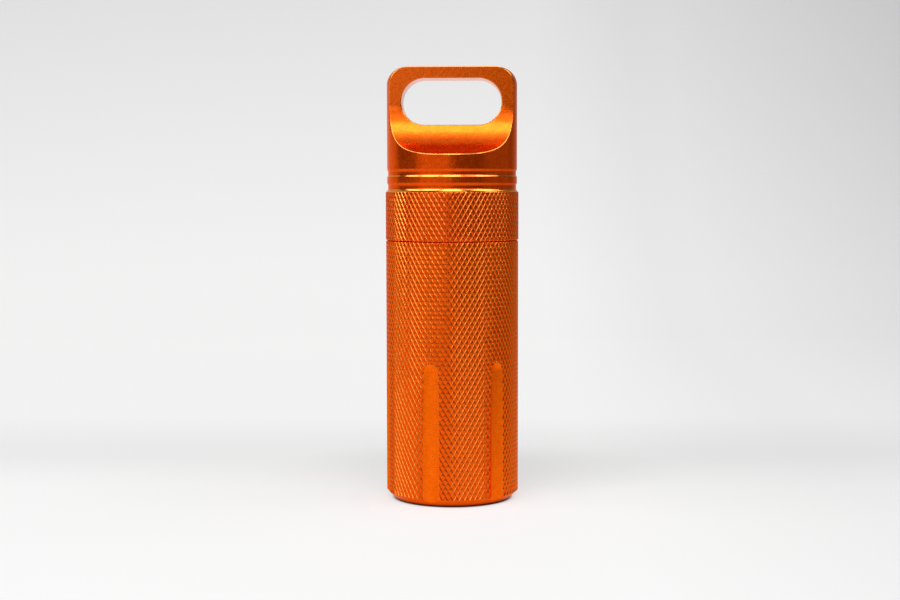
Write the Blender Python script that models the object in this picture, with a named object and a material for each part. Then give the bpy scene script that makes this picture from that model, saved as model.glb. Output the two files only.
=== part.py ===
"""Everyday carry canister: a knurled aluminium tube, closed by a screw cap that carries a loop.

Metres, +Z up. The canister stands on the origin. The cap turns about Z, and its loop faces -Y when it is
screwed home. The body's height, the threads and the cap are stacked upwards from the base.
"""

import math

import bmesh
import bpy

# Canister body
BODY_RADIUS = 0.0150
BODY_HEIGHT = 0.05855
BASE_CHAMFER = 0.0019
BASE_THICKNESS = 0.0030
CHAMBER_FILLET = 0.0010
RIM_BREAK = 0.0002

# Flutes milled up the grip with a ball-nosed cutter that ramps out near its top
FLUTE_COUNT = 6
FLUTE_FIRST_ANGLE = math.radians(-107.2)
FLUTE_BALL_RADIUS = 0.0036
FLUTE_HEIGHT = 0.0320
FLUTE_DEPTH = 0.00074
FLUTE_TOP_DEPTH = 0.00056
FLUTE_RAMP = 0.0120

# Thread between body and cap: right-handed, 60 degree flanks, sizes across it as shares of its pitch
THREAD_PITCH = 0.0015
THREAD_WALL = 0.0023
THREAD_CLEARANCE = 0.00015
THREAD_DEPTH_SHARE = 0.54
THREAD_CREST_SHARE = 0.125
THREAD_FLANK_ANGLE = math.radians(30)
THREAD_FADE_TURN_SHARE = 0.15
THREAD_FADE_LEAST_SHARE = 0.1
THREAD_LEAD_TURNS = 1
THREAD_SINK = 0.00015

# Plug of the cap, hollowed from below up past the shoulder
PLUG_LENGTH = 0.0110
PLUG_WALL = 0.0022
PLUG_CHAMFER = 0.0005
RECESS_CEILING = 0.0060

# Sealing ring in the neck between the thread and the shoulder
SEAL_CORD = 0.0015
SEAL_CLEARANCE = 0.0002
NECK_STEP = 0.0004

# Outside of the cap, from its shoulder up to the scoops
SEAM_GAP = 0.0003
BAND_OVERHANG = 0.00005
BAND_HEIGHT = 0.0109
COLLAR_STEP = 0.00035
GROOVE_DEPTH = 0.0003
GROOVE_FLOOR = 0.00105
RIDGE_HEIGHT = 0.00145
COLLAR_HEIGHT = 0.00325

# Loop: a blade left between two scoops, with rounded shoulders and a slot through it
BLADE_THICKNESS = 0.0096
BLADE_FACE_HEIGHT = 0.0086
SCOOP_RADIUS = 0.0110
LOOP_CORNER = 0.0040
LOOP_ROOF = 0.0026
LOOP_SIDE_WALL = 0.003475
SLOT_HEIGHT = 0.0104

# Facets, the reach of a cut past what it cuts, and the distance at which points are one
TURN_SEGMENTS = 64
THREAD_SEGMENTS = 32
SEAL_SIDES = 12
FILLET_STEPS = 4
FLUTE_SIDES = 28
FLUTE_CAP_STEPS = 12
SCOOP_STEPS = 12
CORNER_STEPS = 6
SLOT_STEPS = 12
OVERRUN = 0.0005
MERGE_DISTANCE = 0.000001
SHARP_ANGLE = math.radians(30)

# Sizes that follow from those above; the thread's sections lie midway between the turned edges
THREAD_START_ANGLE = math.pi / TURN_SEGMENTS
SHOULDER_HEIGHT = BODY_HEIGHT + SEAM_GAP
THREAD_DEPTH = THREAD_PITCH * THREAD_DEPTH_SHARE
THREAD_RADIUS = BODY_RADIUS - THREAD_WALL - THREAD_CLEARANCE
THREAD_CREST = THREAD_PITCH * THREAD_CREST_SHARE
CORE_RADIUS = THREAD_RADIUS - THREAD_DEPTH
BORE_RADIUS = CORE_RADIUS + THREAD_CLEARANCE
NECK_RADIUS = CORE_RADIUS - NECK_STEP
NECK_HEIGHT = SEAL_CORD + 2 * SEAL_CLEARANCE
SEAT_RADIUS = NECK_RADIUS + NECK_HEIGHT
SEAT_HEIGHT = SHOULDER_HEIGHT - NECK_HEIGHT
BAND_RADIUS = BODY_RADIUS + BAND_OVERHANG
COLLAR_RADIUS = BAND_RADIUS - COLLAR_STEP
GROOVE_RADIUS = COLLAR_RADIUS - GROOVE_DEPTH
HALF_BLADE = BLADE_THICKNESS / 2
SCOOP_OVERSHOOT = max(0, HALF_BLADE + SCOOP_RADIUS - COLLAR_RADIUS)
SCOOP_DROP = math.sqrt(SCOOP_RADIUS ** 2 - SCOOP_OVERSHOOT ** 2)
BAND_BEVEL = BAND_RADIUS - GROOVE_RADIUS
GROOVE_HEIGHT = GROOVE_FLOOR + GROOVE_DEPTH
LOWER_GROOVE_TOP = BAND_HEIGHT + BAND_BEVEL + GROOVE_HEIGHT
UPPER_GROOVE_TOP = LOWER_GROOVE_TOP + RIDGE_HEIGHT + GROOVE_DEPTH + GROOVE_HEIGHT
FACE_BOTTOM = UPPER_GROOVE_TOP + COLLAR_HEIGHT + SCOOP_DROP
CAP_HEIGHT = FACE_BOTTOM + BLADE_FACE_HEIGHT
THREAD_ROOT_WIDTH = THREAD_CREST + 2 * THREAD_DEPTH * math.tan(THREAD_FLANK_ANGLE)
RIDGE_START = THREAD_ROOT_WIDTH / 2 + PLUG_CHAMFER - PLUG_LENGTH
RIDGE_TURNS = (-NECK_HEIGHT - THREAD_ROOT_WIDTH / 2 - RIDGE_START) / THREAD_PITCH
GROOVE_START = SHOULDER_HEIGHT + RIDGE_START - THREAD_LEAD_TURNS * THREAD_PITCH
GROOVE_TURNS = (SEAT_HEIGHT - GROOVE_START) / THREAD_PITCH + THREAD_LEAD_TURNS


def clear_scene():
    for item in list(bpy.data.objects):
        bpy.data.objects.remove(item, do_unlink=True)


def plain_material(name, colour, roughness, metallic):
    """A material of one plain colour."""
    material = bpy.data.materials.new(name)
    material.use_nodes = True
    shader = material.node_tree.nodes["Principled BSDF"]
    shader.inputs["Base Color"].default_value = (*colour, 1)
    shader.inputs["Roughness"].default_value = roughness
    shader.inputs["Metallic"].default_value = metallic
    return material


def placed(name, mesh, parent=None):
    """Make an object of a bmesh, with its faces out and its round faces smooth."""
    bmesh.ops.recalc_face_normals(mesh, faces=mesh.faces)
    data = bpy.data.meshes.new(name)
    mesh.to_mesh(data)
    mesh.free()
    data.shade_smooth()
    data.set_sharp_from_angle(angle=SHARP_ANGLE)
    item = bpy.data.objects.new(name, data)
    bpy.context.scene.collection.objects.link(item)
    item.parent = parent
    return item


def arc(centre, radius, start, sweep, steps):
    """Points of an arc in a plane, both ends included."""
    points = []
    for step in range(steps + 1):
        angle = start + sweep * step / steps
        points.append((centre[0] + radius * math.cos(angle), centre[1] + radius * math.sin(angle)))
    return points


def spin(mesh, profile, segments, closed=False):
    """Turn a profile of (radius, height) points about Z, and close its end rings with flat faces."""
    corners = [mesh.verts.new((radius, 0, height)) for radius, height in profile]
    edges = [mesh.edges.new(pair) for pair in zip(corners, corners[1:])]
    if closed:
        edges.append(mesh.edges.new((corners[-1], corners[0])))
    line = corners + edges
    bmesh.ops.spin(mesh, geom=line, cent=(0, 0, 0), axis=(0, 0, 1), angle=math.tau, steps=segments)
    bmesh.ops.remove_doubles(mesh, verts=mesh.verts, dist=MERGE_DISTANCE)
    bmesh.ops.holes_fill(mesh, edges=mesh.edges, sides=segments)


def skin(mesh, rings):
    """Join closed rings of points, in order, and close both ends."""
    rows = [[mesh.verts.new(point) for point in ring] for ring in rings]
    for lower, upper in zip(rows, rows[1:]):
        for index in range(len(lower)):
            mesh.faces.new((lower[index - 1], lower[index], upper[index], upper[index - 1]))
    mesh.faces.new(rows[0])
    mesh.faces.new(rows[-1])


def prism(name, outline, travel, parent):
    """Extrude a flat outline, given as points in space, along a vector."""
    mesh = bmesh.new()
    skin(mesh, [outline, [[place + step for place, step in zip(point, travel)] for point in outline]])
    return placed(name, mesh, parent=parent)


def combine(item, tool, operation):
    """Cut a tool from an object, or join it on, and show the tool as a guide."""
    modifier = item.modifiers.new(tool.name, "BOOLEAN")
    modifier.operation = operation
    modifier.object = tool
    modifier.solver = "EXACT"
    tool.hide_render = True
    tool.display_type = "WIRE"


def thread_section(clearance, fade):
    """Half of a thread's section, as (radius, half width) points from its sunk base to its crest."""
    root = CORE_RADIUS + clearance
    radii = (root - THREAD_SINK, root + THREAD_DEPTH * fade)
    spare = clearance / math.cos(THREAD_FLANK_ANGLE)
    slope = math.tan(THREAD_FLANK_ANGLE)
    return [(radius, THREAD_CREST / 2 + spare + (THREAD_RADIUS - radius) * slope) for radius in radii]


def thread(name, start, turns, clearance, parent=None):
    """A ridge on a right-hand helix that rises from a height near +X, and fades in and out at its ends."""
    steps = math.floor(turns * THREAD_SEGMENTS)
    fade_steps = THREAD_FADE_TURN_SHARE * THREAD_SEGMENTS
    rings = []
    for step in range(steps + 1):
        fade = min(1, max(THREAD_FADE_LEAST_SHARE, min(step, steps - step) / fade_steps))
        half = thread_section(clearance, fade)
        section = [(radius, -width) for radius, width in half] + half[::-1]
        angle = THREAD_START_ANGLE + math.tau * step / THREAD_SEGMENTS
        height = start + THREAD_PITCH * step / THREAD_SEGMENTS
        x, y = math.cos(angle), math.sin(angle)
        rings.append([(radius * x, radius * y, height + shift) for radius, shift in section])
    mesh = bmesh.new()
    skin(mesh, rings)
    return placed(name, mesh, parent=parent)


def flute_rings(angle):
    """Level rings up one flute: deep below, easing out along the ramp, then closed by the cutter's ball."""
    closing = math.acos(1 - FLUTE_TOP_DEPTH / FLUTE_BALL_RADIUS)
    ball_height = FLUTE_HEIGHT - FLUTE_BALL_RADIUS * math.sin(closing)
    levels = [
        (-OVERRUN, FLUTE_DEPTH, FLUTE_BALL_RADIUS),
        (ball_height - FLUTE_RAMP, FLUTE_DEPTH, FLUTE_BALL_RADIUS),
        (ball_height, FLUTE_TOP_DEPTH, FLUTE_BALL_RADIUS),
    ]
    for step in range(1, FLUTE_CAP_STEPS):
        lift = math.pi / 2 * step / FLUTE_CAP_STEPS
        height = ball_height + FLUTE_BALL_RADIUS * math.sin(lift)
        levels.append((height, FLUTE_TOP_DEPTH, FLUTE_BALL_RADIUS * math.cos(lift)))
    for height, depth, radius in levels:
        distance = BODY_RADIUS + FLUTE_BALL_RADIUS - depth
        centre = (distance * math.cos(angle), distance * math.sin(angle))
        yield [(x, y, height) for x, y in arc(centre, radius, angle, math.tau, FLUTE_SIDES)[:-1]]


def flute_cutter():
    mesh = bmesh.new()
    for index in range(FLUTE_COUNT):
        skin(mesh, list(flute_rings(FLUTE_FIRST_ANGLE + math.tau * index / FLUTE_COUNT)))
    return placed("flute_cutter", mesh)


def canister_body():
    """The tube: grip outside, chamber inside, ring seat and female thread at the mouth."""
    fillet_centre = (BORE_RADIUS - CHAMBER_FILLET, BASE_THICKNESS + CHAMBER_FILLET)
    profile = [
        (BODY_RADIUS - BASE_CHAMFER, 0),
        (BODY_RADIUS, BASE_CHAMFER),
        (BODY_RADIUS, BODY_HEIGHT - RIM_BREAK),
        (BODY_RADIUS - RIM_BREAK, BODY_HEIGHT),
        (SEAT_RADIUS, BODY_HEIGHT),
        (SEAT_RADIUS, SEAT_HEIGHT),
        (BORE_RADIUS, SEAT_HEIGHT),
        *arc(fillet_centre, CHAMBER_FILLET, 0, -math.pi / 2, FILLET_STEPS),
    ]
    mesh = bmesh.new()
    spin(mesh, profile, TURN_SEGMENTS)
    body = placed("canister_body", mesh)
    combine(body, flute_cutter(), "DIFFERENCE")
    combine(body, thread("thread_cutter", GROOVE_START, GROOVE_TURNS, THREAD_CLEARANCE), "DIFFERENCE")
    body.data.materials.append(plain_material("anodised_body", (0.80, 0.19, 0.015), 0.38, 1))
    return body


def scoop_cutter(name, side, parent):
    """What is milled away on one side of the blade: flat down its face, then a hollow curve outwards."""
    width = COLLAR_RADIUS + OVERRUN
    outer = max(HALF_BLADE + SCOOP_RADIUS, COLLAR_RADIUS) + OVERRUN
    curve = arc((HALF_BLADE + SCOOP_RADIUS, FACE_BOTTOM), SCOOP_RADIUS, math.pi, math.pi / 2, SCOOP_STEPS)
    outline = [
        (HALF_BLADE, CAP_HEIGHT + OVERRUN),
        *curve,
        (outer, FACE_BOTTOM - SCOOP_RADIUS),
        (outer, CAP_HEIGHT + OVERRUN),
    ]
    return prism(name, [(-width, side * y, z) for y, z in outline], (2 * width, 0, 0), parent)


def slot_cutter(parent):
    """The slot through the loop, with half-round ends."""
    depth = COLLAR_RADIUS + OVERRUN
    end_radius = SLOT_HEIGHT / 2
    middle = CAP_HEIGHT - LOOP_ROOF - end_radius
    offset = COLLAR_RADIUS - LOOP_SIDE_WALL - end_radius
    right = arc((offset, middle), end_radius, -math.pi / 2, math.pi, SLOT_STEPS)
    left = arc((-offset, middle), end_radius, math.pi / 2, math.pi, SLOT_STEPS)
    return prism("slot_cutter", [(x, -depth, z) for x, z in right + left], (0, 2 * depth, 0), parent)


def screw_cap(parent):
    """The cap, in its own frame: its shoulder is at zero, its plug hangs below and its loop stands above."""
    profile = [
        (CORE_RADIUS - PLUG_WALL, RECESS_CEILING),
        (CORE_RADIUS - PLUG_WALL, -PLUG_LENGTH),
        (CORE_RADIUS - PLUG_CHAMFER, -PLUG_LENGTH),
        (CORE_RADIUS, PLUG_CHAMFER - PLUG_LENGTH),
        (CORE_RADIUS, -NECK_HEIGHT),
        (NECK_RADIUS, -NECK_HEIGHT),
        (NECK_RADIUS, 0),
        (BAND_RADIUS - RIM_BREAK, 0),
        (BAND_RADIUS, RIM_BREAK),
        (BAND_RADIUS, BAND_HEIGHT),
        (GROOVE_RADIUS, BAND_HEIGHT + BAND_BEVEL),
        (GROOVE_RADIUS, LOWER_GROOVE_TOP - GROOVE_DEPTH),
        (COLLAR_RADIUS, LOWER_GROOVE_TOP),
        (COLLAR_RADIUS, LOWER_GROOVE_TOP + RIDGE_HEIGHT),
        (GROOVE_RADIUS, LOWER_GROOVE_TOP + RIDGE_HEIGHT + GROOVE_DEPTH),
        (GROOVE_RADIUS, UPPER_GROOVE_TOP - GROOVE_DEPTH),
        (COLLAR_RADIUS, UPPER_GROOVE_TOP),
    ]
    corner_centre = (COLLAR_RADIUS - LOOP_CORNER, CAP_HEIGHT - LOOP_CORNER)
    corner = arc(corner_centre, LOOP_CORNER, 0, math.pi / 2, CORNER_STEPS)
    mesh = bmesh.new()
    spin(mesh, profile + corner, TURN_SEGMENTS)
    cap = placed("screw_cap", mesh, parent=parent)
    combine(cap, scoop_cutter("front_scoop_cutter", -1, parent), "DIFFERENCE")
    combine(cap, scoop_cutter("back_scoop_cutter", 1, parent), "DIFFERENCE")
    combine(cap, slot_cutter(parent), "DIFFERENCE")
    combine(cap, thread("plug_thread", RIDGE_START, RIDGE_TURNS, 0, parent), "UNION")
    cap.data.materials.append(plain_material("anodised_cap", (0.78, 0.17, 0.012), 0.36, 1))
    return cap


def o_ring(parent):
    """The sealing ring, round in section, between the shoulder above and its seat in the mouth below."""
    cord_radius = SEAL_CORD / 2
    centre = (NECK_RADIUS + SEAL_CLEARANCE + cord_radius, -SEAL_CLEARANCE - cord_radius)
    mesh = bmesh.new()
    spin(mesh, arc(centre, cord_radius, 0, math.tau, SEAL_SIDES)[:-1], TURN_SEGMENTS, closed=True)
    ring = placed("o_ring", mesh, parent=parent)
    ring.data.materials.append(plain_material("black_rubber", (0.02, 0.02, 0.02), 0.6, 0))
    return ring


def main():
    clear_scene()
    canister_body()
    cap_axis = bpy.data.objects.new("cap_axis", None)
    bpy.context.scene.collection.objects.link(cap_axis)
    cap_axis.location.z = SHOULDER_HEIGHT
    screw_cap(cap_axis)
    o_ring(cap_axis)


main()
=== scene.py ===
"""Looks of the everyday carry canister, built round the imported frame.

Metres, +Z up, in the frame's own axes: the canister stands on the origin and its loop faces -Y.
"""

import math

import bmesh
import bpy
from mathutils import Matrix, Vector


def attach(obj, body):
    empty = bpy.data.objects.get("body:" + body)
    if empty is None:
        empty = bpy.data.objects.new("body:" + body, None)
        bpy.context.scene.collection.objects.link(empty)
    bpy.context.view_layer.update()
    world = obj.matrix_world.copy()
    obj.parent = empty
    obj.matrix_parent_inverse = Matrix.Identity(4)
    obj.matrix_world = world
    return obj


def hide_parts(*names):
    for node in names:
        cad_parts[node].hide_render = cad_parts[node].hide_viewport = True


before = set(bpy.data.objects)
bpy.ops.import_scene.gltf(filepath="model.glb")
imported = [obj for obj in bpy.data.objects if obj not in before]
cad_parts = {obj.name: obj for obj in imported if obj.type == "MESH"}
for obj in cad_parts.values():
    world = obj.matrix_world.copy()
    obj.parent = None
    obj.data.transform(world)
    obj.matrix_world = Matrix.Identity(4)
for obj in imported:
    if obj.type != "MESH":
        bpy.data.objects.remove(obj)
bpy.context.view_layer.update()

# Canister body
BODY_RADIUS = 0.0150
BODY_HEIGHT = 0.05878
BASE_CHAMFER = 0.0019
BASE_THICKNESS = 0.0030
CHAMBER_FILLET = 0.0010
RIM_BREAK = 0.0002

# Flutes milled up the grip with a ball-nosed cutter that ramps out near its top
FLUTE_COUNT = 6
FLUTE_FIRST_ANGLE = math.radians(-107.2)
FLUTE_BALL_RADIUS = 0.0036
FLUTE_HEIGHT = 0.0320
FLUTE_DEPTH = 0.00074
FLUTE_TOP_DEPTH = 0.00056
FLUTE_RAMP = 0.0120

# Thread between body and cap
THREAD_PITCH = 0.0015
THREAD_WALL = 0.0023
THREAD_CLEARANCE = 0.00015
THREAD_DEPTH = 0.00081
THREAD_CREST = 0.0001875
THREAD_FLANK_ANGLE = math.radians(30)
THREAD_FADE_TURN_SHARE = 0.15
THREAD_FADE_LEAST_SHARE = 0.1
THREAD_SINK = 0.00015
THREAD_START_ANGLE = math.pi / 64

# Plug of the cap and the sealing ring in its neck
PLUG_LENGTH = 0.0110
PLUG_WALL = 0.0022
PLUG_CHAMFER = 0.0005
RECESS_CEILING = 0.0060
SEAL_CORD = 0.0015
SEAL_CLEARANCE = 0.0002
NECK_STEP = 0.0004

# Outside of the cap; the seam is thinner than the solids' gap, with the shoulder at the same height
SEAM_GAP = 0.00007
BAND_RADIUS = 0.01505
BAND_HEIGHT = 0.0108
COLLAR_RADIUS = 0.0147
GROOVE_DEPTH = 0.00021
GROOVE_FLANK = 0.00045
GROOVE_FLOOR = 0.00080
RIDGE_HEIGHT = 0.00136
COLLAR_HEIGHT = 0.00334

# Loop
HALF_BLADE = 0.0048
BLADE_FACE_HEIGHT = 0.0086
SCOOP_RADIUS = 0.0110
LOOP_CORNER = 0.0040
LOOP_ROOF = 0.0026
LOOP_SIDE_WALL = 0.003475
SLOT_HEIGHT = 0.0104

# Knurl: two families of V grooves, 30 degrees either way from the axis
KNURL_STARTS = 80
KNURL_LEAN = math.radians(30)
KNURL_DEPTH = 0.000121
KNURL_SPARE_ROWS = 3
BODY_KNURL_TURN = math.radians(2.2)
BODY_KNURL_LIFT = -0.00022
BAND_KNURL_TURN = math.radians(-1.2)
BAND_KNURL_LIFT = 0.0

# Shoulders of a diamond, from its flanks in: share of its whole size, and drop below its crest
KNURL_SHOULDERS = ((0.70, 0.000018), (0.66, 0.000006), (0.61, 0.0))

# Small breaks of the machined edges
PROFILE_EASE = 0.00012
FOOT_EASE = 0.0009
OUTLINE_BREAK = 0.00020
SCOOP_LIP_BREAK = 0.00034
SLOT_BREAK = 0.00025
BREAK_SINK = 0.00001
BREAK_REACH = 0.0003

# Places of the materials on each piece, after the first
WORN_AND_HIGHLIGHT_SLOT = 1
MILLED_SLOT = 2
WALL_SLOT = 3

# Painted highlight: a paler colour on the two upper flanks of each diamond, which face the lamps, and on
# groove flanks that look up this much
HIGHLIGHT_FLANKS = (0, 3)
HIGHLIGHT_LIFT_SHARE = 0.35

# Facets and margins
TURN_SEGMENTS = 192
THREAD_SEGMENTS = 96
SEAL_SIDES = 24
EASE_STEPS = 5
EASE_SHARE = 0.45
BREAK_STEPS = 6
FILLET_STEPS = 10
FLUTE_SIDES = 72
FLUTE_CAP_STEPS = 14
SCOOP_STEPS = 48
CORNER_STEPS = 20
SLOT_STEPS = 40
EDGE_STEPS = 24
OVERRUN = 0.0005
SKIN_MARGIN = 0.00005
SHARP_ANGLE = math.radians(30)

# Turn below which a profile's corner gets no round, and where on the scoop the loop's edge turns steep
EASED_LEAST_TURN = math.radians(15)
EDGE_STEEP_ANGLE = math.radians(45)

# Sizes that follow from those above
SHOULDER_HEIGHT = BODY_HEIGHT + SEAM_GAP
THREAD_RADIUS = BODY_RADIUS - THREAD_WALL - THREAD_CLEARANCE
CORE_RADIUS = THREAD_RADIUS - THREAD_DEPTH
PLUG_BORE_RADIUS = CORE_RADIUS - PLUG_WALL
BORE_RADIUS = CORE_RADIUS + THREAD_CLEARANCE
NECK_RADIUS = CORE_RADIUS - NECK_STEP
NECK_HEIGHT = SEAL_CORD + 2 * SEAL_CLEARANCE
SEAT_RADIUS = NECK_RADIUS + NECK_HEIGHT
SEAT_HEIGHT = SHOULDER_HEIGHT - NECK_HEIGHT
GROOVE_RADIUS = COLLAR_RADIUS - GROOVE_DEPTH
BAND_TOP = SHOULDER_HEIGHT + BAND_HEIGHT
BEVEL_TOP = BAND_TOP + BAND_RADIUS - COLLAR_RADIUS
GROOVE_HEIGHT = GROOVE_FLANK + GROOVE_FLOOR + GROOVE_FLANK
LOWER_GROOVE_TOP = BEVEL_TOP + GROOVE_HEIGHT
RIDGE_TOP = LOWER_GROOVE_TOP + RIDGE_HEIGHT
UPPER_GROOVE_TOP = RIDGE_TOP + GROOVE_HEIGHT
SCOOP_CENTRE = HALF_BLADE + SCOOP_RADIUS
SCOOP_RISE = math.sqrt(SCOOP_RADIUS ** 2 - (SCOOP_CENTRE - COLLAR_RADIUS) ** 2)
FACE_BOTTOM = UPPER_GROOVE_TOP + COLLAR_HEIGHT + SCOOP_RISE
LOOP_TOP = FACE_BOTTOM + BLADE_FACE_HEIGHT
CORNER_BASE = LOOP_TOP - LOOP_CORNER
SLOT_END_RADIUS = SLOT_HEIGHT / 2
SLOT_MIDDLE = LOOP_TOP - LOOP_ROOF - SLOT_END_RADIUS
SLOT_OFFSET = COLLAR_RADIUS - LOOP_SIDE_WALL - SLOT_END_RADIUS
THREAD_ROOT_WIDTH = THREAD_CREST + 2 * THREAD_DEPTH * math.tan(THREAD_FLANK_ANGLE)
RIDGE_START = SHOULDER_HEIGHT + THREAD_ROOT_WIDTH / 2 + PLUG_CHAMFER - PLUG_LENGTH
RIDGE_TURNS = (SEAT_HEIGHT - THREAD_ROOT_WIDTH / 2 - RIDGE_START) / THREAD_PITCH
CUT_START = RIDGE_START - THREAD_PITCH
CUT_TURNS = (SEAT_HEIGHT - CUT_START) / THREAD_PITCH + 1
KNURL_ROW = math.pi * BODY_RADIUS / KNURL_STARTS / math.tan(KNURL_LEAN)

# Range in which noise mostly lies, and numbers of the mix node's two inputs and its result
NOISE_RANGE = (0.3, 0.7)
MIX_SOCKETS = {"FLOAT": (2, 3, 0), "RGBA": (6, 7, 2)}

# Anodised aluminium: size and detail of its blotches and grain, and what all its finishes share
DYE_NOISE = (0.0012, 4)
MATT_NOISE = (0.0007, 3)
BLAST_NOISE = (0.0007, 2)
BLAST_DEPTH = 0.00003
BLAST_SHARE = 0.5
ROUGHNESS_SWING = 0.03
METAL_SHARE = 0.96
GLANCING_TINT = (1, 0.62, 0.46)
COAT_ROUGHNESS = 0.15

# Finishes: darker and lighter dye, roughness and clear coat share
FINISHES = {
    # The worn edge's pale colour is wear on the broken edges and a painted highlight on flanks that face
    # the lamps
    "worn_edge_and_highlight": ((0.87, 0.240, 0.030), (0.93, 0.325, 0.056), 0.16, 0.1),
    "anodised_body": ((0.83, 0.086, 0.0010), (0.93, 0.114, 0.0018), 0.24, 0.0),
    # The flutes' lighter dye is painted light: a lit copy of the body's finish
    "anodised_flute_painted_light": ((0.90, 0.116, 0.0012), (1.0, 0.148, 0.0022), 0.27, 0.0),
    "anodised_cap": ((0.76, 0.068, 0.0014), (0.90, 0.090, 0.0024), 0.26, 0.02),
    "anodised_loop": ((0.74, 0.094, 0.0020), (0.86, 0.126, 0.0032), 0.28, 0.08),
    "anodised_slot": ((0.84, 0.092, 0.0020), (0.97, 0.124, 0.0032), 0.20, 0.5),
}

# Rubber of the ring: its colours, and its blotches and grain in the same way
RUBBER_DARK = (0.012, 0.012, 0.013)
RUBBER_BLOOM = (0.028, 0.028, 0.028)
BLOOM_NOISE = (0.0008, 3)
RUBBER_MATT_NOISE = (0.0004, 3)
RUBBER_ROUGHNESS = (0.5, 0.7)
RUBBER_NOISE = (0.0002, 2)
RUBBER_DEPTH = 0.00001

# Floor and backdrop, one sheet that curves up behind the canister
FLOOR_HALF_WIDTH = 1.6
FLOOR_FRONT = -1.6
SWEEP_START = 0.35
SWEEP_RADIUS = 0.35
WALL_TOP = 1.6
SWEEP_STEPS = 24

# Paper: its colour and glow, and how both fade to the right and to the front, and the glow higher up, as
# painted shade
PAPER_COLOUR = (0.285, 0.292, 0.294)
PAPER_ROUGHNESS = 0.9
GLOW_COLOUR = (1, 0.994, 0.986)
FLOOR_GLOW = 0.578
WALL_GLOW = 0.650
WALL_GLOW_FROM = 0.1
HIGH_GLOW_LOSS = 0.150
HIGH_LOSS_FROM = 0.02
HIGH_LOSS_TO = 0.22
FADE_SHARE = 0.45
FADE_RIGHT_FROM = 0.12
FADE_RIGHT_TO = 0.6
FADE_FRONT_FROM = -0.2
FADE_FRONT_TO = -0.6

# Share of the glow left in a painted shade band across the paper, at its right side and in the painted
# shadow behind the canister
HORIZON_SHADE_SHARE = 0.87
HORIZON_SHADE_FROM = 0.010
HORIZON_SHADE_DEEPEST = (0.050, 0.065)
HORIZON_SHADE_TO = 0.125
RIGHT_SHARE = 0.88
RIGHT_FROM = 0.035
RIGHT_TO = 0.095
SHADOW_SHARE = 0.87
SHADOW_PLACE = (0.004, 0.036, 0)
SHADOW_SIZE = (0.055, 0.036)
SHADOW_CORE_SHARE = 0.35

# Painted contact shade under the foot, and the share of the glow at the right that the metal mirrors, a
# painted darker reflection
FOOT_SHADE = 0.0008
MIRRORED_RIGHT_SHARE = 0.66
MIRRORED_RIGHT_TO = 0.16

# Softboxes on a sphere round the canister: elevation, azimuth from the front to +X, size and radiance
LAMP_AIM = (0, 0, 0.06)
LAMP_DISTANCE = 0.9
LAMPS = (
    ("key", 56, 0, (0.40, 0.42), 6.0),
    ("middle", 30, 0, (0.52, 0.24), 1.7),
    ("left", 40, -44, (0.46, 0.40), 4.6),
    ("right", 36, 38, (0.48, 0.34), 1.9),
    ("low_front", 12.5, -31, (1.04, 0.27), 1.35),
    ("low_right", 6, 88, (1.00, 0.20), 0.24),
    ("high_right", 76, 12, (0.42, 0.22), 1.6),
    ("top", 92, 0, (0.40, 0.26), 0.6),
    ("left_side", 40, -82, (0.38, 0.40), 3.2),
    ("right_side", 48, 72, (0.45, 0.38), 3.4),
    ("back_right", 46, 106, (0.50, 0.44), 1.5),
)
ROOM_LEVEL = 0.08

# Camera: place before its swing about the axis, lens and sensor in millimetres, turns in radians
CAMERA_PLACE = (-0.00051, -0.35975, 0.071076)
CAMERA_LENS = 63.28
CAMERA_SENSOR = 36
CAMERA_CLIP = 0.01
CAMERA_PITCH = 0.072
CAMERA_ROLL = -0.0016
CAMERA_AZIMUTH = math.radians(1.5)


def solid(name, points, faces):
    """Make an object of points and faces, with its faces out."""
    data = bpy.data.meshes.new(name)
    data.from_pydata([tuple(point) for point in points], [], faces)
    mesh = bmesh.new()
    mesh.from_mesh(data)
    bmesh.ops.recalc_face_normals(mesh, faces=mesh.faces)
    mesh.to_mesh(data)
    mesh.free()
    item = bpy.data.objects.new(name, data)
    bpy.context.scene.collection.objects.link(item)
    return item


def skin(name, rings, closed=False):
    """Join rings of points in order, and close both ends, or join the last ring to the first."""
    count = len(rings[0])
    points = [point for ring in rings for point in ring]
    faces = []
    for row in range(0 if closed else 1, len(rings)):
        lower = (row - 1) % len(rings) * count
        upper = row * count
        for index in range(count):
            ahead = (index + 1) % count
            faces.append((lower + index, lower + ahead, upper + ahead, upper + index))
    if not closed:
        faces.append(tuple(range(count)))
        faces.append(tuple(range(len(points) - count, len(points))))
    return solid(name, points, faces)


def combined(item, tools, materials):
    """Give an object its materials, then cut tools from it, join them on or keep what both hold."""
    for part in [item] + [tool for tool, _ in tools]:
        for material in materials:
            part.data.materials.append(material)
    for tool, operation in tools:
        modifier = item.modifiers.new(tool.name, "BOOLEAN")
        modifier.operation = operation
        modifier.object = tool
        modifier.solver = "MANIFOLD"
    result = bpy.data.meshes.new_from_object(item.evaluated_get(bpy.context.evaluated_depsgraph_get()))
    item.modifiers.clear()
    item.data = result
    for tool, _ in tools:
        bpy.data.objects.remove(tool)
    return item


def finished(item):
    """Shade round faces smooth, with crisp edges where they meet flat ones."""
    item.data.shade_smooth()
    item.data.set_sharp_from_angle(angle=SHARP_ANGLE)
    weigh = item.modifiers.new("weigh", "WEIGHTED_NORMAL")
    weigh.keep_sharp = True
    return item


def arc(centre, radius, start, sweep, steps):
    """Points of an arc in a plane, both ends included."""
    points = []
    for step in range(steps + 1):
        angle = start + sweep * step / steps
        points.append((centre[0] + radius * math.cos(angle), centre[1] + radius * math.sin(angle)))
    return points


def bend(start, corner, end, steps):
    """Points of a curve from start to end that leaves and arrives along the lines to a corner."""
    points = []
    for step in range(steps + 1):
        share = step / steps
        points.append((1 - share) ** 2 * start + 2 * share * (1 - share) * corner + share ** 2 * end)
    return points


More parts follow.
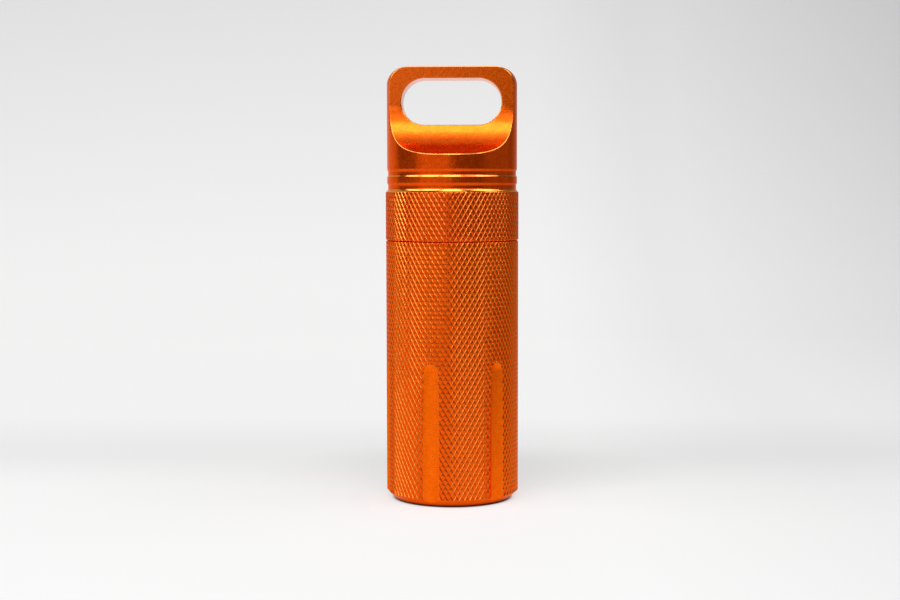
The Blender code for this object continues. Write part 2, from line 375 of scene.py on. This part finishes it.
def eased(profile, wide_corner=None):
    """A profile with a small round at each corner, and a wide one at the corner given."""
    points = [Vector(point) for point in profile]
    rounded = [points[0]]
    for index, (before, corner, after) in enumerate(zip(points, points[1:], points[2:]), 1):
        ease = FOOT_EASE if index == wide_corner else PROFILE_EASE
        back = before - corner
        ahead = after - corner
        if math.pi - back.angle(ahead) < EASED_LEAST_TURN:
            rounded.append(corner)
            continue
        start = corner + back.normalized() * min(ease, back.length * EASE_SHARE)
        end = corner + ahead.normalized() * min(ease, ahead.length * EASE_SHARE)
        rounded.extend(bend(start, corner, end, EASE_STEPS))
    rounded.append(points[-1])
    return rounded


def turned(name, profile, closed=False):
    """Turn a profile of (radius, height) points about Z."""
    rings = []
    for radius, height in profile:
        rings.append([(x, y, height) for x, y in arc((0, 0), radius, 0, math.tau, TURN_SEGMENTS)[:-1]])
    return skin(name, rings, closed)


def knurl_point(radius, half_columns, height, turn):
    """A point on the knurl, placed round the bar in half columns of diamonds."""
    angle = turn + math.pi * half_columns / KNURL_STARTS
    return (radius * math.cos(angle), radius * math.sin(angle), height)


def knurled_bar(name, radius, turn, lift, bottom, top, first_row, last_row):
    """A bar with rows of flat-topped diamonds between V grooves, and plain rings at its ends."""
    floor = radius - KNURL_DEPTH
    points = []
    faces = []
    highlit_faces = []
    around = 2 * KNURL_STARTS
    crossings = {}
    for row in range(first_row - 1, last_row + 2):
        for column in range(row % 2, around, 2):
            crossings[row, column] = len(points)
            points.append(knurl_point(floor, column, lift + row * KNURL_ROW, turn))
    for row in range(first_row, last_row + 1):
        for column in range((row + 1) % 2, around, 2):
            reach = ((-1, 0), (0, -1), (1, 0), (0, 1))
            corners = [crossings[row + up, (column + across) % around] for across, up in reach]
            rings = [corners]
            for share, drop in KNURL_SHOULDERS:
                for across, up in reach:
                    level = lift + (row + share * up) * KNURL_ROW
                    points.append(knurl_point(radius - drop, column + share * across, level, turn))
                rings.append(list(range(len(points) - 4, len(points))))
            # Painted highlight: the two upper flanks of each diamond, which face the lamps, take the paler
            # colour
            highlit_faces.extend(len(faces) + flank for flank in HIGHLIGHT_FLANKS)
            for outer, inner in zip(rings, rings[1:]):
                for index in range(4):
                    faces.append((outer[index - 1], outer[index], inner[index], inner[index - 1]))
            faces.append(tuple(rings[-1]))
    for row, beyond, height in ((first_row, first_row - 1, bottom), (last_row, last_row + 1, top)):
        start = len(points)
        edge = [crossings[beyond if (row - column) % 2 else row, column] for column in range(around)]
        points.extend(knurl_point(radius, column, height, turn) for column in range(around))
        for index in range(around):
            ahead = (index + 1) % around
            faces.append((edge[index], edge[ahead], start + ahead, start + index))
        faces.append(tuple(range(start, start + around)))
    bar = solid(name, points, faces)
    for index in highlit_faces:
        bar.data.polygons[index].material_index = WORN_AND_HIGHLIGHT_SLOT
    return bar


def thread(name, start, turns, clearance):
    """A ridge on a right-hand helix that rises from a height near +X, and fades in and out at its ends."""
    steps = math.floor(turns * THREAD_SEGMENTS)
    fade_steps = THREAD_FADE_TURN_SHARE * THREAD_SEGMENTS
    root = CORE_RADIUS + clearance
    spare = clearance / math.cos(THREAD_FLANK_ANGLE)
    rings = []
    for step in range(steps + 1):
        fade = min(1, max(THREAD_FADE_LEAST_SHARE, min(step, steps - step) / fade_steps))
        half = []
        for radius in (root - THREAD_SINK, root + THREAD_DEPTH * fade):
            flank = (THREAD_RADIUS - radius) * math.tan(THREAD_FLANK_ANGLE)
            half.append((radius, THREAD_CREST / 2 + spare + flank))
        section = [(radius, -width) for radius, width in half] + half[::-1]
        angle = THREAD_START_ANGLE + math.tau * step / THREAD_SEGMENTS
        height = start + THREAD_PITCH * step / THREAD_SEGMENTS
        ring = []
        for radius, up in section:
            ring.append((radius * math.cos(angle), radius * math.sin(angle), height + up))
        rings.append(ring)
    return skin(name, rings)


def flute(angle):
    """One flute's cutter: deep below, easing out along the ramp, then closed by the cutter's ball."""
    ball_rise = math.sqrt(FLUTE_BALL_RADIUS ** 2 - (FLUTE_BALL_RADIUS - FLUTE_TOP_DEPTH) ** 2)
    ball_height = FLUTE_HEIGHT - ball_rise
    levels = [
        (-OVERRUN, FLUTE_DEPTH, FLUTE_BALL_RADIUS),
        (ball_height - FLUTE_RAMP, FLUTE_DEPTH, FLUTE_BALL_RADIUS),
        (ball_height, FLUTE_TOP_DEPTH, FLUTE_BALL_RADIUS),
    ]
    for step in range(1, FLUTE_CAP_STEPS):
        lift = math.pi / 2 * step / FLUTE_CAP_STEPS
        height = ball_height + FLUTE_BALL_RADIUS * math.sin(lift)
        levels.append((height, FLUTE_TOP_DEPTH, FLUTE_BALL_RADIUS * math.cos(lift)))
    rings = []
    for height, depth, radius in levels:
        distance = BODY_RADIUS + FLUTE_BALL_RADIUS - depth
        centre = (distance * math.cos(angle), distance * math.sin(angle))
        rings.append([(x, y, height) for x, y in arc(centre, radius, angle, math.tau, FLUTE_SIDES)[:-1]])
    cutter = skin("flute_cutter", rings)
    for face in cutter.data.polygons:
        face.material_index = MILLED_SLOT
    return cutter


def canister_body(materials):
    """The knurled tube with its flutes, chamber, ring seat and female thread."""
    outside = BODY_RADIUS + SKIN_MARGIN
    rim = RIM_BREAK + SKIN_MARGIN
    foot = (BODY_RADIUS - BASE_CHAMFER, 0)
    profile = [
        (BODY_RADIUS - 2 * BASE_CHAMFER, 0),
        foot,
        (outside, BASE_CHAMFER + SKIN_MARGIN),
        (outside, BODY_HEIGHT - rim),
        (outside - rim, BODY_HEIGHT),
        (SEAT_RADIUS, BODY_HEIGHT),
        (SEAT_RADIUS, SEAT_HEIGHT),
        (BORE_RADIUS, SEAT_HEIGHT),
    ]
    centre = (BORE_RADIUS - CHAMBER_FILLET, BASE_THICKNESS + CHAMBER_FILLET)
    fillet = arc(centre, CHAMBER_FILLET, 0, -math.pi / 2, FILLET_STEPS)
    outline = eased(profile + fillet[:1], profile.index(foot))
    body = turned("knurled_canister", outline[:-1] + fillet)
    last_row = math.ceil((BODY_HEIGHT + OVERRUN) / KNURL_ROW) + 1
    low = -KNURL_SPARE_ROWS * KNURL_ROW
    high = (last_row + KNURL_SPARE_ROWS) * KNURL_ROW
    grip = knurled_bar("grip", BODY_RADIUS, BODY_KNURL_TURN, BODY_KNURL_LIFT, low, high, -1, last_row)
    tools = [(grip, "INTERSECT")]
    for index in range(FLUTE_COUNT):
        tools.append((flute(FLUTE_FIRST_ANGLE + math.tau * index / FLUTE_COUNT), "DIFFERENCE"))
    tools.append((thread("thread_cutter", CUT_START, CUT_TURNS, THREAD_CLEARANCE), "DIFFERENCE"))
    return finished(combined(body, tools, materials))


def face_depth(height):
    """How far the loop's face stands from the axis at a height."""
    if height >= FACE_BOTTOM:
        return HALF_BLADE
    return SCOOP_CENTRE - math.sqrt(SCOOP_RADIUS ** 2 - (FACE_BOTTOM - height) ** 2)


def face_normal(height, side):
    """The way the loop's face looks at a height."""
    lift = max(0, FACE_BOTTOM - height) / SCOOP_RADIUS
    return Vector((0, side * math.sqrt(max(0, 1 - lift ** 2)), lift))


def scoop_cutter(side):
    """What is milled away on one side of the blade."""
    width = COLLAR_RADIUS + OVERRUN
    outer = SCOOP_CENTRE + OVERRUN
    curve = arc((SCOOP_CENTRE, FACE_BOTTOM), SCOOP_RADIUS, math.pi, math.pi / 2, SCOOP_STEPS)
    outline = [(HALF_BLADE, LOOP_TOP + OVERRUN), *curve, (outer, FACE_BOTTOM - SCOOP_RADIUS)]
    outline.append((outer, LOOP_TOP + OVERRUN))
    cutter = skin("scoop_cutter", [[(x, side * y, z) for y, z in outline] for x in (-width, width)])
    for face in cutter.data.polygons:
        face.material_index = MILLED_SLOT
    return cutter


def slot_outline():
    """The slot seen from the front, as (x, z) points with the way its wall looks at each."""
    outline = []
    for offset, start in ((SLOT_OFFSET, -math.pi / 2), (-SLOT_OFFSET, math.pi / 2)):
        for x, z in arc((offset, SLOT_MIDDLE), SLOT_END_RADIUS, start, math.pi, SLOT_STEPS):
            inwards = Vector((offset - x, 0, SLOT_MIDDLE - z)).normalized()
            outline.append((x, z, inwards))
    return outline


def slot_cutter():
    """What is milled out of the blade for the slot."""
    depth = COLLAR_RADIUS + OVERRUN
    cutter = skin("slot_cutter", [[(x, y, z) for x, z, _ in slot_outline()] for y in (-depth, depth)])
    for face in cutter.data.polygons:
        face.material_index = WALL_SLOT
    return cutter


def slot_rim(side):
    """Points round the slot's rim on one face, with the way the face and the wall look at each."""
    rim = []
    outline = slot_outline()
    for index, (x, z, inwards) in enumerate(outline):
        rim.append((Vector((x, side * face_depth(z), z)), face_normal(z, side), inwards))
        after_x = outline[(index + 1) % len(outline)][0]
        if index % (SLOT_STEPS + 1) == SLOT_STEPS:
            for step in range(1, EDGE_STEPS):
                between = x + (after_x - x) * step / EDGE_STEPS
                rim.append((Vector((between, side * face_depth(z), z)), face_normal(z, side), inwards))
    return rim


def half_loop_edge(side):
    """The +X half of the loop's edge on one face, from the scoop's lowest point up, with both normals."""
    edge = []
    widest = math.acos((SCOOP_CENTRE - SCOOP_RADIUS * math.cos(EDGE_STEEP_ANGLE)) / COLLAR_RADIUS)
    for step in range(EDGE_STEPS):
        around = widest * step / EDGE_STEPS
        out = COLLAR_RADIUS * math.cos(around)
        drop = math.sqrt(SCOOP_RADIUS ** 2 - (SCOOP_CENTRE - out) ** 2)
        edge.append((COLLAR_RADIUS * math.sin(around), out, FACE_BOTTOM - drop, COLLAR_RADIUS, 0))
    for step in range(EDGE_STEPS):
        down = EDGE_STEEP_ANGLE * (1 - step / EDGE_STEPS)
        out = SCOOP_CENTRE - SCOOP_RADIUS * math.cos(down)
        across = math.sqrt(COLLAR_RADIUS ** 2 - out ** 2)
        edge.append((across, out, FACE_BOTTOM - SCOOP_RADIUS * math.sin(down), COLLAR_RADIUS, 0))
    straight = math.sqrt(COLLAR_RADIUS ** 2 - HALF_BLADE ** 2)
    for step in range(EDGE_STEPS):
        height = FACE_BOTTOM + (CORNER_BASE - FACE_BOTTOM) * step / EDGE_STEPS
        edge.append((straight, HALF_BLADE, height, COLLAR_RADIUS, 0))
    for step in range(CORNER_STEPS + 1):
        lift = math.pi / 2 * step / CORNER_STEPS
        radius = COLLAR_RADIUS - LOOP_CORNER + LOOP_CORNER * math.cos(lift)
        across = math.sqrt(radius ** 2 - HALF_BLADE ** 2)
        edge.append((across, HALF_BLADE, CORNER_BASE + LOOP_CORNER * math.sin(lift), radius, lift))
    points = []
    for x, y, z, radius, lift in edge:
        level = math.cos(lift)
        outwards = Vector((x / radius * level, side * y / radius * level, math.sin(lift)))
        points.append((Vector((x, side * y, z)), face_normal(z, side), outwards))
    return points


def loop_edge(side):
    """The loop's whole edge on one face: up one half, over the top and down the other."""
    right = half_loop_edge(side)
    corner, face, outwards = right[-1]
    top = []
    for step in range(1, 2 * EDGE_STEPS):
        x = corner.x * (1 - step / EDGE_STEPS)
        top.append((Vector((x, corner.y, corner.z)), face, outwards))
    mirror = Vector((-1, 1, 1))
    left = [tuple(value * mirror for value in entry) for entry in right[:0:-1]]
    return right + top + left


def edge_break(name, edge, blade_break, lip_break):
    """A closed tool that rounds the edge where two surfaces meet, as much as given on blade and lip."""
    rings = []
    for index, (point, first, second) in enumerate(edge):
        share = (abs(point.y) - HALF_BLADE) / (COLLAR_RADIUS - HALF_BLADE)
        setback = blade_break + (lip_break - blade_break) * share
        along = (edge[(index + 1) % len(edge)][0] - edge[index - 1][0]).normalized()
        into_first = along.cross(first).normalized()
        into_first *= -math.copysign(1, into_first.dot(second))
        into_second = along.cross(second).normalized()
        into_second *= -math.copysign(1, into_second.dot(first))
        start = point + into_first * setback + first * BREAK_SINK
        end = point + into_second * setback + second * BREAK_SINK
        ring = [start + first * BREAK_REACH]
        ring.extend(bend(start, point, end, BREAK_STEPS))
        ring.append(end + second * BREAK_REACH)
        ring.append(point + (first + second) * BREAK_REACH)
        rings.append(ring)
    tool = skin(name, rings, closed=True)
    # The broken edge takes the paler colour: wear, and a painted highlight where it faces the lamps
    for face in tool.data.polygons:
        face.material_index = WORN_AND_HIGHLIGHT_SLOT
    return tool


def screw_cap(materials):
    """The cap: plug with its thread, knurled band, grooved collar, and loop with its broken edges."""
    outside = BAND_RADIUS + SKIN_MARGIN
    rim = RIM_BREAK + SKIN_MARGIN
    profile = [
        (PLUG_BORE_RADIUS - OVERRUN, SHOULDER_HEIGHT + RECESS_CEILING),
        (PLUG_BORE_RADIUS, SHOULDER_HEIGHT + RECESS_CEILING),
        (PLUG_BORE_RADIUS, SHOULDER_HEIGHT - PLUG_LENGTH),
        (CORE_RADIUS - PLUG_CHAMFER, SHOULDER_HEIGHT - PLUG_LENGTH),
        (CORE_RADIUS, SHOULDER_HEIGHT + PLUG_CHAMFER - PLUG_LENGTH),
        (CORE_RADIUS, SEAT_HEIGHT),
        (NECK_RADIUS, SEAT_HEIGHT),
        (NECK_RADIUS, SHOULDER_HEIGHT),
        (outside - rim, SHOULDER_HEIGHT),
        (outside, SHOULDER_HEIGHT + rim),
        (outside, BAND_TOP - SKIN_MARGIN),
        (COLLAR_RADIUS, BEVEL_TOP),
        (GROOVE_RADIUS, BEVEL_TOP + GROOVE_FLANK),
        (GROOVE_RADIUS, LOWER_GROOVE_TOP - GROOVE_FLANK),
        (COLLAR_RADIUS, LOWER_GROOVE_TOP),
        (COLLAR_RADIUS, RIDGE_TOP),
        (GROOVE_RADIUS, RIDGE_TOP + GROOVE_FLANK),
        (GROOVE_RADIUS, UPPER_GROOVE_TOP - GROOVE_FLANK),
        (COLLAR_RADIUS, UPPER_GROOVE_TOP),
        (COLLAR_RADIUS, CORNER_BASE),
    ]
    corner = arc((COLLAR_RADIUS - LOOP_CORNER, CORNER_BASE), LOOP_CORNER, 0, math.pi / 2, CORNER_STEPS)
    cap = turned("loop_cap", eased(profile) + corner[1:])
    # Painted highlight: groove flanks and the band's bevel that look up take the paler colour
    for face in cap.data.polygons:
        if face.normal.z > HIGHLIGHT_LIFT_SHARE and BAND_TOP - PROFILE_EASE < face.center.z < UPPER_GROOVE_TOP:
            face.material_index = WORN_AND_HIGHLIGHT_SLOT
    first_row = math.floor((SHOULDER_HEIGHT - OVERRUN) / KNURL_ROW)
    last_row = math.ceil((BEVEL_TOP + OVERRUN) / KNURL_ROW)
    low = SHOULDER_HEIGHT - PLUG_LENGTH - OVERRUN
    high = LOOP_TOP + OVERRUN
    rows = (first_row, last_row)
    band = knurled_bar("band", BAND_RADIUS, BAND_KNURL_TURN, BAND_KNURL_LIFT, low, high, *rows)
    tools = [(band, "INTERSECT"), (slot_cutter(), "DIFFERENCE")]
    for side in (-1, 1):
        tools.insert(1, (scoop_cutter(side), "DIFFERENCE"))
        loop_tool = edge_break("outline_break", loop_edge(side), OUTLINE_BREAK, SCOOP_LIP_BREAK)
        tools.append((loop_tool, "DIFFERENCE"))
        slot_tool = edge_break("rim_break", slot_rim(side), SLOT_BREAK, SLOT_BREAK)
        tools.append((slot_tool, "DIFFERENCE"))
    tools.append((thread("plug_thread", RIDGE_START, RIDGE_TURNS, 0), "UNION"))
    return finished(combined(cap, tools, materials))


def sealing_ring(material):
    """The rubber ring in the neck of the plug."""
    cord_radius = SEAL_CORD / 2
    centre = (NECK_RADIUS + SEAL_CLEARANCE + cord_radius, SHOULDER_HEIGHT - SEAL_CLEARANCE - cord_radius)
    section = arc(centre, cord_radius, 0, math.tau, SEAL_SIDES)[:-1]
    ring = turned("sealing_ring", section, closed=True)
    ring.data.materials.append(material)
    return finished(ring)


def shader_node(tree, kind, links=(), **values):
    """Add a node, give its sockets their values and link other nodes' outputs to them."""
    node = tree.nodes.new(kind)
    for name, value in values.items():
        setattr(node, name, value)
    for socket, source in links:
        if isinstance(source, (int, float, tuple)):
            node.inputs[socket].default_value = source
        else:
            tree.links.new(source, node.inputs[socket])
    return node


def new_material(name):
    """A new material, with its node tree and its shader."""
    material = bpy.data.materials.new(name)
    material.use_nodes = True
    return material, material.node_tree, material.node_tree.nodes["Principled BSDF"]


def noise(tree, where, size, detail):
    """Noise whose blotches are about a given size, in metres."""
    links = [("Vector", where), ("Scale", 1 / size), ("Detail", detail)]
    return shader_node(tree, "ShaderNodeTexNoise", links).outputs[0]


def mapped(tree, value, start, end, low, high):
    """A value's range from start to end mapped onto low to high, and held there outside it."""
    links = [("Value", value), ("From Min", start), ("From Max", end), ("To Min", low), ("To Max", high)]
    return shader_node(tree, "ShaderNodeMapRange", links).outputs["Result"]


def stretched(tree, factor, low, high):
    """Noise stretched to a range of values."""
    return mapped(tree, factor, *NOISE_RANGE, low, high)


def product(tree, *factors):
    """The product of several values."""
    result = factors[0]
    for factor in factors[1:]:
        node = shader_node(tree, "ShaderNodeMath", [(0, result), (1, factor)], operation="MULTIPLY")
        result = node.outputs["Value"]
    return result


def mixed(tree, factor, first, second, kind):
    """A value or a colour between two."""
    one, other, result = MIX_SOCKETS[kind]
    links = [("Factor", factor), (one, first), (other, second)]
    return shader_node(tree, "ShaderNodeMix", links, data_type=kind).outputs[result]


def colour_between(tree, factor, first, second):
    """A colour between two colours without alpha."""
    return mixed(tree, factor, (*first, 1), (*second, 1), "RGBA")


def anodised(name):
    """Dyed anodising over blasted aluminium: an uneven dye, a soft uneven grain and a thin clear oxide."""
    dark, light, roughness, coat = FINISHES[name]
    material, tree, shader = new_material(name)
    where = shader_node(tree, "ShaderNodeTexCoord").outputs["Object"]
    dye = stretched(tree, noise(tree, where, *DYE_NOISE), 0, 1)
    tree.links.new(colour_between(tree, dye, dark, light), shader.inputs["Base Color"])
    blotches = noise(tree, where, *MATT_NOISE)
    matt = stretched(tree, blotches, roughness - ROUGHNESS_SWING, roughness + ROUGHNESS_SWING)
    tree.links.new(matt, shader.inputs["Roughness"])
    grain = noise(tree, where, *BLAST_NOISE)
    links = [("Height", grain), ("Strength", BLAST_SHARE), ("Distance", BLAST_DEPTH)]
    bump = shader_node(tree, "ShaderNodeBump", links)
    tree.links.new(bump.outputs["Normal"], shader.inputs["Normal"])
    shader.inputs["Metallic"].default_value = METAL_SHARE
    shader.inputs["Specular Tint"].default_value = (*GLANCING_TINT, 1)
    shader.inputs["Coat Weight"].default_value = coat
    shader.inputs["Coat Roughness"].default_value = COAT_ROUGHNESS
    return material


def rubber():
    """Black rubber with a faint bloom."""
    material, tree, shader = new_material("seal_rubber")
    where = shader_node(tree, "ShaderNodeTexCoord").outputs["Object"]
    bloom = noise(tree, where, *BLOOM_NOISE)
    tree.links.new(colour_between(tree, bloom, RUBBER_DARK, RUBBER_BLOOM), shader.inputs["Base Color"])
    matt = stretched(tree, noise(tree, where, *RUBBER_MATT_NOISE), *RUBBER_ROUGHNESS)
    tree.links.new(matt, shader.inputs["Roughness"])
    grain = noise(tree, where, *RUBBER_NOISE)
    bump = shader_node(tree, "ShaderNodeBump", [("Height", grain), ("Distance", RUBBER_DEPTH)])
    tree.links.new(bump.outputs["Normal"], shader.inputs["Normal"])
    return material


def scaled_distance(tree, place, centre, scale):
    """How far a place is from a centre, with each axis scaled first."""
    away = shader_node(tree, "ShaderNodeVectorMath", [(0, place), (1, centre)], operation="SUBTRACT")
    links = [(0, away.outputs["Vector"]), (1, scale)]
    away = shader_node(tree, "ShaderNodeVectorMath", links, operation="MULTIPLY")
    links = [(0, away.outputs["Vector"])]
    return shader_node(tree, "ShaderNodeVectorMath", links, operation="LENGTH").outputs["Value"]


def soft_shades(tree, place, axes):
    """Share of the glow that the painted shade leaves: a band across the paper, its darker right side and a
    soft painted shadow behind the canister.
    """
    into_horizon_shade = mapped(tree, axes.outputs["Y"], HORIZON_SHADE_FROM, HORIZON_SHADE_DEEPEST[0], 1, HORIZON_SHADE_SHARE)
    out_of_horizon_shade = mapped(tree, axes.outputs["Y"], HORIZON_SHADE_DEEPEST[1], HORIZON_SHADE_TO, 1, 1 / HORIZON_SHADE_SHARE)
    right = mapped(tree, axes.outputs["X"], RIGHT_FROM, RIGHT_TO, 1, RIGHT_SHARE)
    reach = scaled_distance(tree, place, SHADOW_PLACE, (1 / SHADOW_SIZE[0], 1 / SHADOW_SIZE[1], 0))
    shadow = mapped(tree, reach, SHADOW_CORE_SHARE, 1, SHADOW_SHARE, 1)
    return product(tree, into_horizon_shade, out_of_horizon_shade, right, shadow)


def seen_share(tree, path, axes):
    """Share of the glow that a ray meets: all for the camera, less at the right for mirrors as a painted
    darker reflection, else none.
    """
    direct = path.outputs["Is Camera Ray"]
    mirrored = mapped(tree, axes.outputs["X"], 0, MIRRORED_RIGHT_TO, 1, MIRRORED_RIGHT_SHARE)
    share = mixed(tree, direct, mirrored, 1, "FLOAT")
    shown = direct
    for ray in ("Is Glossy Ray", "Is Transmission Ray"):
        links = [(0, shown), (1, path.outputs[ray])]
        shown = shader_node(tree, "ShaderNodeMath", links, operation="MAXIMUM").outputs["Value"]
    return product(tree, share, shown)


def paper():
    """Pale matt paper that glows as bright as a lit studio's, with painted shade in its glow and a painted
    contact shade where the foot stands on it.
    """
    material, tree, shader = new_material("paper")
    place = shader_node(tree, "ShaderNodeTexCoord").outputs["Object"]
    axes = shader_node(tree, "ShaderNodeSeparateXYZ", [("Vector", place)])
    right = mapped(tree, axes.outputs["X"], FADE_RIGHT_FROM, FADE_RIGHT_TO, 1, FADE_SHARE)
    front = mapped(tree, axes.outputs["Y"], FADE_FRONT_TO, FADE_FRONT_FROM, FADE_SHARE, 1)
    fade = product(tree, right, front)
    tree.links.new(colour_between(tree, fade, (0, 0, 0), PAPER_COLOUR), shader.inputs["Base Color"])
    shader.inputs["Roughness"].default_value = PAPER_ROUGHNESS
    far = mapped(tree, axes.outputs["Y"], WALL_GLOW_FROM, SWEEP_START, FLOOR_GLOW, WALL_GLOW)
    high = mapped(tree, axes.outputs["Z"], HIGH_LOSS_FROM, HIGH_LOSS_TO, 0, HIGH_GLOW_LOSS)
    glow = shader_node(tree, "ShaderNodeMath", [(0, far), (1, high)], operation="SUBTRACT").outputs["Value"]
    foot_edge = BODY_RADIUS - BASE_CHAMFER
    reach = scaled_distance(tree, place, (0, 0, 0), (1, 1, 0))
    foot = mapped(tree, reach, foot_edge, foot_edge + FOOT_SHADE, 0, 1)
    seen = seen_share(tree, shader_node(tree, "ShaderNodeLightPath"), axes)
    level = product(tree, fade, glow, foot, soft_shades(tree, place, axes), seen)
    shader.inputs["Emission Color"].default_value = (*GLOW_COLOUR, 1)
    tree.links.new(level, shader.inputs["Emission Strength"])
    return material


def backdrop():
    """The sheet of paper: floor, sweep and wall."""
    sweep = arc((SWEEP_START, SWEEP_RADIUS), SWEEP_RADIUS, -math.pi / 2, math.pi / 2, SWEEP_STEPS)
    line = [(FLOOR_FRONT, 0), *sweep, (SWEEP_START + SWEEP_RADIUS, WALL_TOP)]
    points = [(x, y, z) for y, z in line for x in (-FLOOR_HALF_WIDTH, FLOOR_HALF_WIDTH)]
    faces = []
    for first in range(0, len(points) - 2, 2):
        faces.append((first, first + 1, first + 3, first + 2))
    sheet = solid("backdrop", points, faces)
    sheet.data.shade_smooth()
    sheet.data.materials.append(paper())


def softbox(name, elevation, azimuth, size, radiance):
    """A rectangular lamp that faces the canister."""
    lamp = bpy.data.lights.new(name, "AREA")
    lamp.shape = "RECTANGLE"
    lamp.size, lamp.size_y = size
    lamp.energy = radiance * math.pi * size[0] * size[1]
    item = bpy.data.objects.new(name, lamp)
    bpy.context.scene.collection.objects.link(item)
    up = math.radians(elevation)
    around = math.radians(azimuth)
    way = Vector((math.cos(up) * math.sin(around), -math.cos(up) * math.cos(around), math.sin(up)))
    item.location = Vector(LAMP_AIM) + way * LAMP_DISTANCE
    item.rotation_euler = (-way).to_track_quat("-Z", "Y").to_euler()
    item.visible_camera = False


def room_light():
    """A weak even light from all round."""
    world = bpy.data.worlds.new("room")
    world.use_nodes = True
    background = world.node_tree.nodes["Background"]
    background.inputs["Color"].default_value = (1, 1, 1, 1)
    background.inputs["Strength"].default_value = ROOM_LEVEL
    bpy.context.scene.world = world


def camera():
    """The camera, level with the cap's grooves and looking slightly down."""
    lens = bpy.data.cameras.new("camera")
    lens.sensor_fit = "HORIZONTAL"
    lens.sensor_width = CAMERA_SENSOR
    lens.lens = CAMERA_LENS
    lens.clip_start = CAMERA_CLIP
    item = bpy.data.objects.new("camera", lens)
    bpy.context.scene.collection.objects.link(item)
    swing = Matrix.Rotation(CAMERA_AZIMUTH, 4, "Z")
    tilt = Matrix.Rotation(math.pi / 2 - CAMERA_PITCH, 4, "X") @ Matrix.Rotation(CAMERA_ROLL, 4, "Z")
    item.matrix_world = swing @ Matrix.Translation(CAMERA_PLACE) @ tilt
    bpy.context.scene.camera = item


worn_and_highlight_finish = anodised("worn_edge_and_highlight")
body_finish = anodised("anodised_body")
flute_painted_light_finish = anodised("anodised_flute_painted_light")
cap_finish = anodised("anodised_cap")
loop_finish = anodised("anodised_loop")
slot_finish = anodised("anodised_slot")
body_piece = canister_body((body_finish, worn_and_highlight_finish, flute_painted_light_finish))
cap_piece = screw_cap((cap_finish, worn_and_highlight_finish, loop_finish, slot_finish))
ring_piece = sealing_ring(rubber())
pieces = (
    (body_piece, "canister", "canister_body", "anodised_body"),
    (cap_piece, "cap", "screw_cap", "anodised_cap"),
    (ring_piece, "seal", "o_ring", "seal_rubber"),
)
for piece, body, node, slot in pieces:
    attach(piece, body)
    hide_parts(node)

backdrop()
camera()
for lamp_values in LAMPS:
    softbox(*lamp_values)
room_light()
bpy.context.scene.view_settings.view_transform = "Standard"
